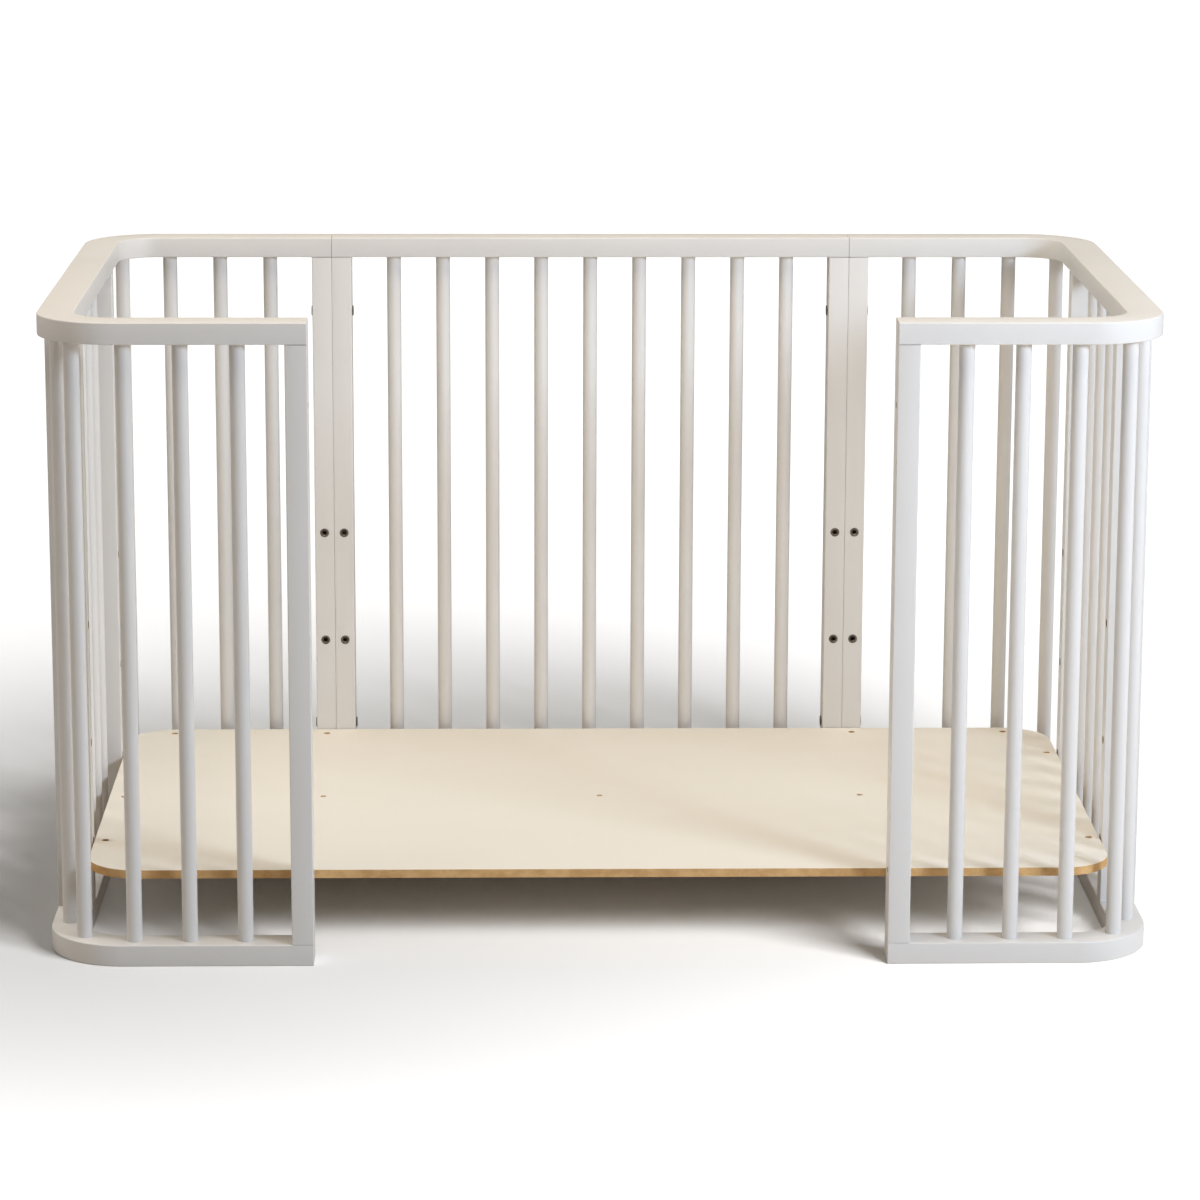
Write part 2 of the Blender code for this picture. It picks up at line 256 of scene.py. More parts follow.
def makeLaminate(name):
    # Cream melamine with a fine pearl texture
    tones = ((0.79, 0.745, 0.665), (0.765, 0.715, 0.63))
    material, tree, shader = newMaterial(name, tones[0])
    link = tree.links.new
    coords = tree.nodes.new("ShaderNodeTexCoord").outputs["Object"]
    mottle = placeGroup(tree, toneMottle, Tone_A=(*tones[0], 1), Tone_B=(*tones[1], 1),
                        Drift_Scale=2.2, Speckle_Scale=380.0, Speckle=0.7)
    skin = placeGroup(tree, sprayedSkin, Peel_Scale=900.0, Rough_Low=0.50, Rough_High=0.62)
    for group in (mottle, skin):
        link(coords, group.inputs["Vector"])
    link(mottle.outputs["Colour"], shader.inputs["Base Color"])
    link(skin.outputs["Roughness"], shader.inputs["Roughness"])
    addBump(tree, shader, skin.outputs["Height"], 0.00010, 0.5)
    shader.inputs["Specular IOR Level"].default_value = 0.4
    return material


def makeRawBoard(name, pale, dark, stretch):
    # Sawn edge of a pressed wood board, and the wall of a drilled hole
    material, tree, shader = newMaterial(name, pale)
    link = tree.links.new
    coords = tree.nodes.new("ShaderNodeTexCoord").outputs["Object"]
    mottle = placeGroup(tree, toneMottle, Tone_A=(*pale, 1), Tone_B=(*dark, 1),
                        Drift_Scale=60.0, Speckle_Scale=900.0, Speckle=1.4)
    fibre = placeGroup(tree, woodFibre, Stretch=stretch, Scale=60.0, Sharpness=0.2)
    for group in (mottle, fibre):
        link(coords, group.inputs["Vector"])
    deep = addNode(tree, "ShaderNodeMix", data_type="RGBA", blend_type="MULTIPLY")
    deep.inputs[7].default_value = (0.62, 0.52, 0.42, 1)
    share = addNode(tree, "ShaderNodeMath", operation="MULTIPLY")
    share.inputs[1].default_value = 0.7
    link(fibre.outputs["Pore"], share.inputs[0])
    link(share.outputs[0], deep.inputs["Factor"])
    link(mottle.outputs["Colour"], deep.inputs[6])
    link(deep.outputs[2], shader.inputs["Base Color"])
    rough = addNode(tree, "ShaderNodeMapRange", To_Min=0.72, To_Max=0.90)
    link(mottle.outputs["Mask"], rough.inputs["Value"])
    link(rough.outputs["Result"], shader.inputs["Roughness"])
    addBump(tree, shader, fibre.outputs["Fibre"], 0.00025, 0.7)
    shader.inputs["Specular IOR Level"].default_value = 0.25
    return material


def makePine(name):
    # Planed pine: growth rings cut lengthwise, with fibres and pores
    material, tree, shader = newMaterial(name, (0.72, 0.52, 0.32))
    link = tree.links.new
    coords = tree.nodes.new("ShaderNodeTexCoord").outputs["Object"]
    # The log's heart lies a little below the stick and leans along it
    heart = addNode(tree, "ShaderNodeMapping")
    heart.inputs["Location"].default_value = (0.0, 0.004, -0.048)
    heart.inputs["Rotation"].default_value = (0.0, math.radians(0.7), math.radians(0.5))
    rings = addNode(tree, "ShaderNodeTexWave", wave_type="RINGS", rings_direction="X", Scale=46.0,
                    Distortion=1.6, Detail=3.0, Detail_Scale=1.4)
    fibre = placeGroup(tree, woodFibre, Stretch=(1.0, 26.0, 26.0), Scale=26.0, Sharpness=0.25)
    link(coords, heart.inputs["Vector"])
    link(heart.outputs["Vector"], rings.inputs["Vector"])
    link(coords, fibre.inputs["Vector"])
    ramp = addNode(tree, "ShaderNodeValToRGB")
    ramp.color_ramp.elements[0].position = 0.15
    ramp.color_ramp.elements[0].color = (0.74, 0.55, 0.34, 1)
    ramp.color_ramp.elements[1].position = 0.92
    ramp.color_ramp.elements[1].color = (0.50, 0.29, 0.13, 1)
    link(rings.outputs["Fac"], ramp.inputs["Fac"])
    grain = addNode(tree, "ShaderNodeMix", data_type="RGBA", blend_type="MULTIPLY")
    grain.inputs[7].default_value = (0.80, 0.72, 0.60, 1)
    link(fibre.outputs["Fibre"], grain.inputs["Factor"])
    link(ramp.outputs["Color"], grain.inputs[6])
    link(grain.outputs[2], shader.inputs["Base Color"])
    rough = addNode(tree, "ShaderNodeMapRange", To_Min=0.52, To_Max=0.70)
    link(fibre.outputs["Fibre"], rough.inputs["Value"])
    link(rough.outputs["Result"], shader.inputs["Roughness"])
    addBump(tree, shader, fibre.outputs["Fibre"], 0.0002, 0.6)
    return material


def makeMetal(name, pale, dark, roughRange, brushing):
    material, tree, shader = newMaterial(name, pale)
    link = tree.links.new
    coords = tree.nodes.new("ShaderNodeTexCoord").outputs["Object"]
    mottle = placeGroup(tree, toneMottle, Tone_A=(*pale, 1), Tone_B=(*dark, 1),
                        Drift_Scale=120.0, Speckle_Scale=1500.0, Speckle=0.8)
    scratch = placeGroup(tree, woodFibre, Stretch=brushing, Scale=300.0, Sharpness=0.3)
    for group in (mottle, scratch):
        link(coords, group.inputs["Vector"])
    link(mottle.outputs["Colour"], shader.inputs["Base Color"])
    rough = addNode(tree, "ShaderNodeMapRange", To_Min=roughRange[0], To_Max=roughRange[1])
    link(scratch.outputs["Fibre"], rough.inputs["Value"])
    link(rough.outputs["Result"], shader.inputs["Roughness"])
    addBump(tree, shader, scratch.outputs["Fibre"], 0.00003, 0.4)
    shader.inputs["Metallic"].default_value = 1.0
    return material


paintTones = ((0.735, 0.712, 0.682), (0.715, 0.69, 0.66))
lacquerLying = makeLacquer("lacquerLying", (1.0, 18.0, 18.0), paintTones)
lacquerStanding = makeLacquer("lacquerStanding", (18.0, 18.0, 1.0), paintTones)
laminate = makeLaminate("creamLaminate")
rawEdge = makeRawBoard("sawnBoardEdge", (0.74, 0.47, 0.21), (0.58, 0.34, 0.14), (1.0, 1.0, 9.0))
boredWood = makeRawBoard("boredWood", (0.36, 0.22, 0.12), (0.26, 0.15, 0.08), (6.0, 1.0, 6.0))
pine = makePine("planedPine")
zinc = makeMetal("zincPlate", (0.62, 0.62, 0.60), (0.48, 0.48, 0.47), (0.28, 0.45), (1.0, 1.0, 8.0))
bronze = makeMetal("agedSteel", (0.26, 0.23, 0.19), (0.15, 0.13, 0.11), (0.34, 0.52), (1.0, 8.0, 1.0))
brass = makeMetal("brassPlate", (0.72, 0.44, 0.20), (0.55, 0.31, 0.13), (0.30, 0.45), (8.0, 1.0, 1.0))
print("finishes ready")


def newGeometryTree(name, inputs):
    # inputs is {name: (socket type, start value)}
    tree = bpy.data.node_groups.new(name, "GeometryNodeTree")
    tree.interface.new_socket("Geometry", in_out="INPUT", socket_type="NodeSocketGeometry")
    for label, (kind, start) in inputs.items():
        socket = tree.interface.new_socket(label, in_out="INPUT", socket_type=kind)
        if start is not None:
            socket.default_value = start
    tree.interface.new_socket("Geometry", in_out="OUTPUT", socket_type="NodeSocketGeometry")
    entry = tree.nodes.new("NodeGroupInput")
    leave = tree.nodes.new("NodeGroupOutput")
    return tree, entry, leave


def linkPiece(name, mesh):
    piece = bpy.data.objects.new(name, mesh)
    scene.collection.objects.link(piece)
    return piece


def growPiece(name, guide, tree, values):
    # Runs a tree on a guide mesh and keeps the result as a plain mesh
    grower = linkPiece(name + "Guide", guide)
    modifier = grower.modifiers.new("grow", "NODES")
    modifier.node_group = tree
    keys = {item.name: item.identifier for item in tree.interface.items_tree
            if item.item_type == "SOCKET" and item.in_out == "INPUT"}
    for label, value in values.items():
        modifier[keys[label]] = value
    depsgraph = bpy.context.evaluated_depsgraph_get()
    mesh = bpy.data.meshes.new_from_object(grower.evaluated_get(depsgraph), depsgraph=depsgraph)
    mesh.name = name
    grower.modifiers.remove(modifier)
    bpy.data.objects.remove(grower)
    return linkPiece(name, mesh)


def bakeModifiers(piece):
    # Turns the live modifiers of a piece into its plain mesh
    depsgraph = bpy.context.evaluated_depsgraph_get()
    mesh = bpy.data.meshes.new_from_object(piece.evaluated_get(depsgraph), depsgraph=depsgraph)
    mesh.name = piece.name
    piece.modifiers.clear()
    piece.data = mesh


def shadeRound(piece, degrees=35):
    piece.data.shade_smooth()
    piece.data.set_sharp_from_angle(angle=math.radians(degrees))


def softenEdges(piece, width, segments=3, degrees=50):
    bevel = piece.modifiers.new("softEdges", "BEVEL")
    bevel.width = width
    bevel.segments = segments
    bevel.limit_method = "ANGLE"
    bevel.angle_limit = math.radians(degrees)
    bevel.harden_normals = True
    bevel.use_clamp_overlap = True


def place(piece, slot, *nodes):
    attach(piece, "root")
    if nodes:
        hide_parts(*nodes)


def lineMesh(name, points):
    mesh = bpy.data.meshes.new(name)
    mesh.from_pydata(points, [(i, i + 1) for i in range(len(points) - 1)], [])
    return mesh


railSizes = {
    "width": 0.042,
    "thickness": 0.025,
    "edgeRadius": 0.0014,
    "edgeSteps": 4,
    "outerRadius": 0.090,
    "bendSteps": 28,
    "endBevel": 0.0006,
}


def makeRailTree():
    # Rounded oblong profile swept along a filleted path
    tree, entry, leave = newGeometryTree("sweptRail", {
        "Width": (floatSocket, 0.04), "Thickness": (floatSocket, 0.025),
        "Edge Radius": (floatSocket, 0.002), "Edge Steps": ("NodeSocketInt", 4),
        "Bend Radius": (floatSocket, 0.07), "Bend Steps": ("NodeSocketInt", 24),
        "Finish": ("NodeSocketMaterial", None)})
    link = tree.links.new
    path = addNode(tree, "GeometryNodeMeshToCurve")
    bend = addNode(tree, "GeometryNodeFilletCurve", mode="POLY")
    upright = addNode(tree, "GeometryNodeSetCurveNormal", mode="Z_UP")
    profile = addNode(tree, "GeometryNodeCurvePrimitiveQuadrilateral", mode="RECTANGLE")
    eased = addNode(tree, "GeometryNodeFilletCurve", mode="POLY")
    sweep = addNode(tree, "GeometryNodeCurveToMesh", Fill_Caps=True)
    finish = addNode(tree, "GeometryNodeSetMaterial")
    real = addNode(tree, "GeometryNodeRealizeInstances")
    link(entry.outputs["Geometry"], path.inputs["Mesh"])
    link(path.outputs["Curve"], bend.inputs["Curve"])
    link(entry.outputs["Bend Radius"], bend.inputs["Radius"])
    link(entry.outputs["Bend Steps"], bend.inputs["Count"])
    link(bend.outputs["Curve"], upright.inputs["Curve"])
    link(entry.outputs["Width"], profile.inputs["Width"])
    link(entry.outputs["Thickness"], profile.inputs["Height"])
    link(profile.outputs["Curve"], eased.inputs["Curve"])
    link(entry.outputs["Edge Radius"], eased.inputs["Radius"])
    link(entry.outputs["Edge Steps"], eased.inputs["Count"])
    link(upright.outputs["Curve"], sweep.inputs["Curve"])
    link(eased.outputs["Curve"], sweep.inputs["Profile Curve"])
    link(sweep.outputs["Mesh"], real.inputs["Geometry"])
    link(real.outputs["Geometry"], finish.inputs["Geometry"])
    link(entry.outputs["Finish"], finish.inputs["Material"])
    link(finish.outputs["Geometry"], leave.inputs["Geometry"])
    return tree


railTree = makeRailTree()


def makeRail(name, node, path):
    low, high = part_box(node)
    middleZ = (low[2] + high[2]) / 2
    guide = lineMesh(name, [(x, y, middleZ) for x, y in path])
    rail = growPiece(name, guide, railTree, {
        "Width": railSizes["width"], "Thickness": railSizes["thickness"],
        "Edge Radius": railSizes["edgeRadius"], "Edge Steps": railSizes["edgeSteps"],
        "Bend Radius": railSizes["outerRadius"] - railSizes["width"] / 2,
        "Bend Steps": railSizes["bendSteps"], "Finish": lacquerLying})
    shadeRound(rail, 40)
    softenEdges(rail, railSizes["endBevel"], 2, 60)
    place(rail, "white_paint", node)
    return rail


def endFramePath(node, sign):
    # Centre line of a C shaped rail, read from its node's box
    low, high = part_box(node)
    half = railSizes["width"] / 2
    seamX = high[0] if sign < 0 else low[0]
    outerX = low[0] if sign < 0 else high[0]
    farX = outerX - sign * half
    nearY, farY = low[1] + half, high[1] - half
    return [(seamX, nearY), (farX, nearY), (farX, farY), (seamX, farY)]


sides = {"left": -1, "right": 1}
for side, sign in sides.items():
    for level in ("top", "bottom"):
        node = f"{side}_{level}_rail"
        makeRail(f"{side}{level.title()}Rail", node, endFramePath(node, sign))
for level in ("top", "bottom"):
    node = f"rear_panel_{level}_rail"
    low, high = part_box(node)
    middleY = (low[1] + high[1]) / 2
    makeRail(f"rearPanel{level.title()}Rail", node, [(low[0], middleY), (high[0], middleY)])
print("rails made")


spindleSizes = {
    "diameter": 0.018,
    "sides": 28,
    "seat": 0.003,          # how far a rod runs into each rail
}


def makeSpindleTree():
    # A round rod at every point of the guide mesh
    tree, entry, leave = newGeometryTree("spindleRow", {
        "Diameter": (floatSocket, 0.018), "Length": (floatSocket, 0.7),
        "Sides": ("NodeSocketInt", 24), "Finish": ("NodeSocketMaterial", None)})
    link = tree.links.new
    half = addNode(tree, "ShaderNodeMath", operation="DIVIDE")
    half.inputs[1].default_value = 2.0
    tip = addNode(tree, "ShaderNodeCombineXYZ")
    rodLine = addNode(tree, "GeometryNodeCurvePrimitiveLine")
    ring = addNode(tree, "GeometryNodeCurvePrimitiveCircle", mode="RADIUS")
    rod = addNode(tree, "GeometryNodeCurveToMesh", Fill_Caps=True)
    points = addNode(tree, "GeometryNodeMeshToPoints")
    repeat = addNode(tree, "GeometryNodeInstanceOnPoints")
    real = addNode(tree, "GeometryNodeRealizeInstances")
    finish = addNode(tree, "GeometryNodeSetMaterial")
    link(entry.outputs["Diameter"], half.inputs[0])
    link(half.outputs[0], ring.inputs["Radius"])
    link(entry.outputs["Sides"], ring.inputs["Resolution"])
    link(entry.outputs["Length"], tip.inputs["Z"])
    link(tip.outputs[0], rodLine.inputs["End"])
    link(rodLine.outputs["Curve"], rod.inputs["Curve"])
    link(ring.outputs["Curve"], rod.inputs["Profile Curve"])
    link(entry.outputs["Geometry"], points.inputs["Mesh"])
    link(points.outputs["Points"], repeat.inputs["Points"])
    link(rod.outputs["Mesh"], repeat.inputs["Instance"])
    link(repeat.outputs["Instances"], real.inputs["Geometry"])
    link(real.outputs["Geometry"], finish.inputs["Geometry"])
    link(entry.outputs["Finish"], finish.inputs["Material"])
    link(finish.outputs["Geometry"], leave.inputs["Geometry"])
    return tree


spindleTree = makeSpindleTree()
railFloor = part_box("left_top_rail")[0][2]
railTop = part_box("left_bottom_rail")[1][2]


def makeSpindles(name, prefix, count):
    nodes = [f"{prefix}_spindle_{i:02d}" for i in range(1, count + 1)]
    start = railTop - spindleSizes["seat"]
    feet = []
    for node in nodes:
        low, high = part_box(node)
        feet.append(((low[0] + high[0]) / 2, (low[1] + high[1]) / 2, start))
    guide = bpy.data.meshes.new(name)
    guide.from_pydata(feet, [], [])
    spindles = growPiece(name, guide, spindleTree, {
        "Diameter": spindleSizes["diameter"], "Sides": spindleSizes["sides"],
        "Length": railFloor + spindleSizes["seat"] - start, "Finish": lacquerStanding})
    shadeRound(spindles, 40)
    place(spindles, "white_paint", *nodes)


makeSpindles("leftSpindles", "left", 14)
makeSpindles("rightSpindles", "right", 14)
makeSpindles("rearPanelSpindles", "rear_panel", 9)
print("spindles made")


postSizes = {
    "edgeRadius": 0.0014,
    "edgeSteps": 4,
    "seamEdge": 0.0005,       # the edges that meet the next frame stay sharper
    "insertBore": 0.0116,
    "insertDepth": 0.0125,
    "sideHole": 0.010,
    "sideDepth": 0.015,
    "boltHole": 0.008,
    "stepHeights": (0.080, 0.222, 0.364),
    "sideHeights": (0.102, 0.222, 0.364),
    "boltHeights": (0.107, 0.6515),
    "boreSides": 28,
    "overcut": 0.01,          # how far a cutter stands out of the surface
}


def addBore(cutter, start, end, diameter):
    span = Vector(end) - Vector(start)
    turn = Vector((0, 0, 1)).rotation_difference(span)
    where = Matrix.Translation(Vector(start) + span / 2) @ turn.to_matrix().to_4x4()
    bmesh.ops.create_cone(cutter, cap_ends=True, segments=postSizes["boreSides"],
                          radius1=diameter / 2, radius2=diameter / 2, depth=span.length,
                          matrix=where)


def cutBores(piece, cutter, inside):
    # The walls of the bores keep the cutter's material
    mesh = bpy.data.meshes.new("boreCutter")
    bmesh.ops.recalc_face_normals(cutter, faces=cutter.faces)
    cutter.to_mesh(mesh)
    cutter.free()
    mesh.materials.append(inside)
    tool = linkPiece("boreCutter", mesh)
    modifier = piece.modifiers.new("bores", "BOOLEAN")
    modifier.object = tool
    modifier.operation = "DIFFERENCE"
    modifier.solver = "EXACT"
    modifier.material_mode = "TRANSFER"
    bakeModifiers(piece)
    bpy.data.objects.remove(tool)


def addPrism(build, outline, bottom, top):
    # Closed solid on a plan outline; gives back its side walls
    lower = [build.verts.new((x, y, bottom)) for x, y in outline]
    upper = [build.verts.new((x, y, top)) for x, y in outline]
    build.faces.new(lower[::-1])
    build.faces.new(upper)
    walls = []
    for i in range(len(outline)):
        j = (i + 1) % len(outline)
        walls.append(build.faces.new((lower[i], lower[j], upper[j], upper[i])))
    return walls


def linkBuild(name, build, *materials):
    # Turns a finished bmesh into a piece with its materials
    mesh = bpy.data.meshes.new(name)
    build.to_mesh(mesh)
    build.free()
    for material in materials:
        mesh.materials.append(material)
    return linkPiece(name, mesh)


def roundedBlock(name, low, high, radii, material):
    # Upright block; radii holds a radius for each plan corner, from the low-low one round
    corners = ((low[0], low[1], 1, 1), (high[0], low[1], -1, 1),
               (high[0], high[1], -1, -1), (low[0], high[1], 1, -1))
    steps = postSizes["edgeSteps"]
    outline = []
    for number, (x, y, inX, inY) in enumerate(corners):
        radius = radii[number]
        centre = (x + inX * radius, y + inY * radius)
        first = math.pi + number * math.pi / 2
        for i in range(steps + 1):
            angle = first + i * math.pi / 2 / steps
            outline.append((centre[0] + radius * math.cos(angle),
                            centre[1] + radius * math.sin(angle)))
    build = bmesh.new()
    addPrism(build, outline, low[2], high[2])
    bmesh.ops.recalc_face_normals(build, faces=build.faces)
    return linkBuild(name, build, material)


def makeSeamPost(name, node, seamSide, inward):
    # seamSide is the sign of the X face at the seam, inward the sign of Y towards the inside
    low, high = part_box(node)
    soft, sharp = postSizes["edgeRadius"], postSizes["seamEdge"]
    radii = (soft, sharp, sharp, soft) if seamSide > 0 else (sharp, soft, soft, sharp)
    post = roundedBlock(name, low, high, radii, lacquerStanding)
    cutter = bmesh.new()
    middleX = (low[0] + high[0]) / 2
    middleY = (low[1] + high[1]) / 2
    innerY = high[1] if inward > 0 else low[1]
    over = postSizes["overcut"]
    for height in postSizes["stepHeights"]:
        addBore(cutter, (middleX, innerY + inward * over, height),
                (middleX, innerY - inward * postSizes["insertDepth"], height),
                postSizes["insertBore"])
    for height in postSizes["boltHeights"]:
        addBore(cutter, (low[0] - over, middleY, height), (high[0] + over, middleY, height),
                postSizes["boltHole"])
    cutBores(post, cutter, boredWood)
    shadeRound(post)
    place(post, "white_paint", node)


def makeSidePost(name, node, sign):
    low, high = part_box(node)
    post = roundedBlock(name, low, high, [postSizes["edgeRadius"]] * 4, lacquerStanding)
    cutter = bmesh.new()
    middleY = (low[1] + high[1]) / 2
    innerX = low[0] if sign > 0 else high[0]
    for height in postSizes["sideHeights"]:
        addBore(cutter, (innerX - sign * postSizes["overcut"], middleY, height),
                (innerX + sign * postSizes["sideDepth"], middleY, height), postSizes["sideHole"])
    cutBores(post, cutter, boredWood)
    shadeRound(post)
    place(post, "white_paint", node)


for side, sign in sides.items():
    makeSeamPost(f"{side}FrontPost", f"{side}_front_post", -sign, 1)
    makeSeamPost(f"{side}RearPost", f"{side}_rear_post", -sign, -1)
    makeSidePost(f"{side}SidePostFront", f"{side}_side_post_front", sign)
    makeSidePost(f"{side}SidePostRear", f"{side}_side_post_rear", sign)
    makeSeamPost(f"rearPanelPost{side.title()}", f"rear_panel_post_{side}", sign, -1)
print("posts made")


boardSizes = {
    "cornerRadius": 0.060,
    "cornerSteps": 24,
    "holeDiameter": 0.009,
    "edgeBevel": 0.0004,
    "holes": ((0.584, 0.200), (0.34225, 0.308), (0.540, 0.308)),
    "underside": 0.0925,
    "top": 0.1025,
    "halfX": 0.5965,
    "halfY": 0.329,
}


def makeBoard():
    halfX, halfY, radius = boardSizes["halfX"], boardSizes["halfY"], boardSizes["cornerRadius"]
    steps = boardSizes["cornerSteps"]
    outline = []
    for quarter, (signX, signY) in enumerate(((1, 1), (-1, 1), (-1, -1), (1, -1))):
        for i in range(steps + 1):
            angle = (quarter + i / steps) * math.pi / 2
            outline.append((signX * (halfX - radius) + radius * math.cos(angle),
                            signY * (halfY - radius) + radius * math.sin(angle)))
    build = bmesh.new()
    for wall in addPrism(build, outline, boardSizes["underside"], boardSizes["top"]):
        wall.material_index = 1
    board = linkBuild("baseBoard", build, laminate, rawEdge)
    low = boardSizes["underside"] - postSizes["overcut"]
    high = boardSizes["top"] + postSizes["overcut"]
    cutter = bmesh.new()
    for x, y in boardSizes["holes"]:
        for signX in (-1, 1):
            for signY in (-1, 1):
                addBore(cutter, (signX * x, signY * y, low), (signX * x, signY * y, high),
                        boardSizes["holeDiameter"])
    cutBores(board, cutter, rawEdge)
    shadeRound(board)
    softenEdges(board, boardSizes["edgeBevel"], 2, 60)
    place(board, "board_laminate", "base_board")


makeBoard()
print("board made")


battenSizes = {
    "edgeBevel": 0.0012,
}


def makeBatten():
    low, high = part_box("board_batten")
    build = bmesh.new()
    bmesh.ops.create_cube(build, size=1.0)
    size = Vector(high) - Vector(low)
    for vert in build.verts:
        vert.co = Vector(low) + Vector([(vert.co[i] + 0.5) * size[i] for i in range(3)])
    batten = linkBuild("boardBatten", build, pine)
    shadeRound(batten)
    softenEdges(batten, battenSizes["edgeBevel"], 3, 50)
    place(batten, "raw_pine", "board_batten")


makeBatten()


def makeRepeatTree():
    # Puts a piece at every guide point, turned by the point's "turn" attribute
    tree, entry, leave = newGeometryTree("repeatPiece", {
        "Piece": ("NodeSocketObject", None), "Finish": ("NodeSocketMaterial", None)})
    link = tree.links.new
    part = addNode(tree, "GeometryNodeObjectInfo", transform_space="ORIGINAL")
    points = addNode(tree, "GeometryNodeMeshToPoints")
    turn = addNode(tree, "GeometryNodeInputNamedAttribute", data_type="FLOAT_VECTOR")
    turn.inputs["Name"].default_value = "turn"
    rotate = addNode(tree, "FunctionNodeEulerToRotation")
    repeat = addNode(tree, "GeometryNodeInstanceOnPoints")
    real = addNode(tree, "GeometryNodeRealizeInstances")
    finish = addNode(tree, "GeometryNodeSetMaterial")
    link(entry.outputs["Piece"], part.inputs["Object"])
    link(entry.outputs["Geometry"], points.inputs["Mesh"])
    link(points.outputs["Points"], repeat.inputs["Points"])
    link(part.outputs["Geometry"], repeat.inputs["Instance"])
    link(turn.outputs["Attribute"], rotate.inputs[0])
    link(rotate.outputs[0], repeat.inputs["Rotation"])
    link(repeat.outputs["Instances"], real.inputs["Geometry"])
    link(real.outputs["Geometry"], finish.inputs["Geometry"])
    link(entry.outputs["Finish"], finish.inputs["Material"])
    link(finish.outputs["Geometry"], leave.inputs["Geometry"])
    return tree


repeatTree = makeRepeatTree()


def repeatPiece(name, part, spots, finish, slot, *nodes):
    # spots holds (place, turn) pairs, turns in radians about X, Y, Z
    guide = bpy.data.meshes.new(name)
    guide.from_pydata([where for where, turn in spots], [], [])
    turns = guide.attributes.new("turn", "FLOAT_VECTOR", "POINT")
    for i, (where, turn) in enumerate(spots):
        turns.data[i].vector = turn
    piece = growPiece(name, guide, repeatTree, {"Piece": part, "Finish": finish})
    bpy.data.objects.remove(part)
    shadeRound(piece, 30)
    place(piece, slot, *nodes)
    return piece


def turnedPart(name, outline, sides, socketSides=0, socketRadius=0.0, socketDepth=0.0):
    # Solid of revolution about Z from (radius, height) pairs, bottom to top on the axis
    build = bmesh.new()
    rings = []
    for radius, height in outline:
        ring = []
        for i in range(sides):
            angle = 2 * math.pi * i / sides
            ring.append(build.verts.new((radius * math.cos(angle), radius * math.sin(angle),
                                         height)))
        rings.append(ring)
    for lower, upper in zip(rings, rings[1:]):
        for i in range(sides):
            j = (i + 1) % sides
            build.faces.new((lower[i], lower[j], upper[j], upper[i]))
    build.faces.new(rings[0][::-1])
    build.faces.new(rings[-1])
    bmesh.ops.recalc_face_normals(build, faces=build.faces)
    part = linkBuild(name, build)
    if socketSides:
        top = max(height for radius, height in outline)
        cutter = bmesh.new()
        bmesh.ops.create_cone(cutter, cap_ends=True, segments=socketSides, radius1=socketRadius,
                              radius2=socketRadius, depth=socketDepth * 2,
                              matrix=Matrix.Translation((0, 0, top)))
        cutBores(part, cutter, bronze)
    return part


boltSizes = {
    "headDiameter": 0.013,
    "headThickness": 0.0015,
    "chamfer": 0.0004,
    "shankDiameter": 0.0068,
    "socketAcross": 0.0044,
    "socketDepth": 0.0012,
    "socketSides": 6,
    "sides": 32,
}


def makeSeamBolts():
    # Sleeve bolts drawn tight through the two posts of each seam
    head = boltSizes["headDiameter"] / 2
    thick, chamfer = boltSizes["headThickness"], boltSizes["chamfer"]
    for side in sides:
        for level in ("lower", "upper"):
            node = f"seam_bolt_{side}_{level}"
            low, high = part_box(node)
            middle = [(a + b) / 2 for a, b in zip(low, high)]
            shank = boltSizes["shankDiameter"] / 2
            under = (high[0] - low[0]) / 2 - thick
            outline = [(shank, 0.0), (shank, under), (head, under), (head, under + thick - chamfer),
                       (head - chamfer, under + thick)]
            part = turnedPart("boltHalf", outline, boltSizes["sides"], boltSizes["socketSides"],
                              boltSizes["socketAcross"] / 2, boltSizes["socketDepth"])
            spots = [(middle, (0, sign * math.pi / 2, 0)) for sign in (-1, 1)]
            name = f"seamBolt{side.title()}{level.title()}"
            repeatPiece(name, part, spots, bronze, "zinc_steel", node)


makeSeamBolts()

insertSizes = {
    "flange": 0.0114,
    "bore": 0.0056,
    "chamfer": 0.0007,
    "depth": 0.0115,
    "sunk": 0.0003,
    "rim": 0.0003,
    "threads": 8,
    "threadDepth": 0.00035,
    "sides": 24,
}


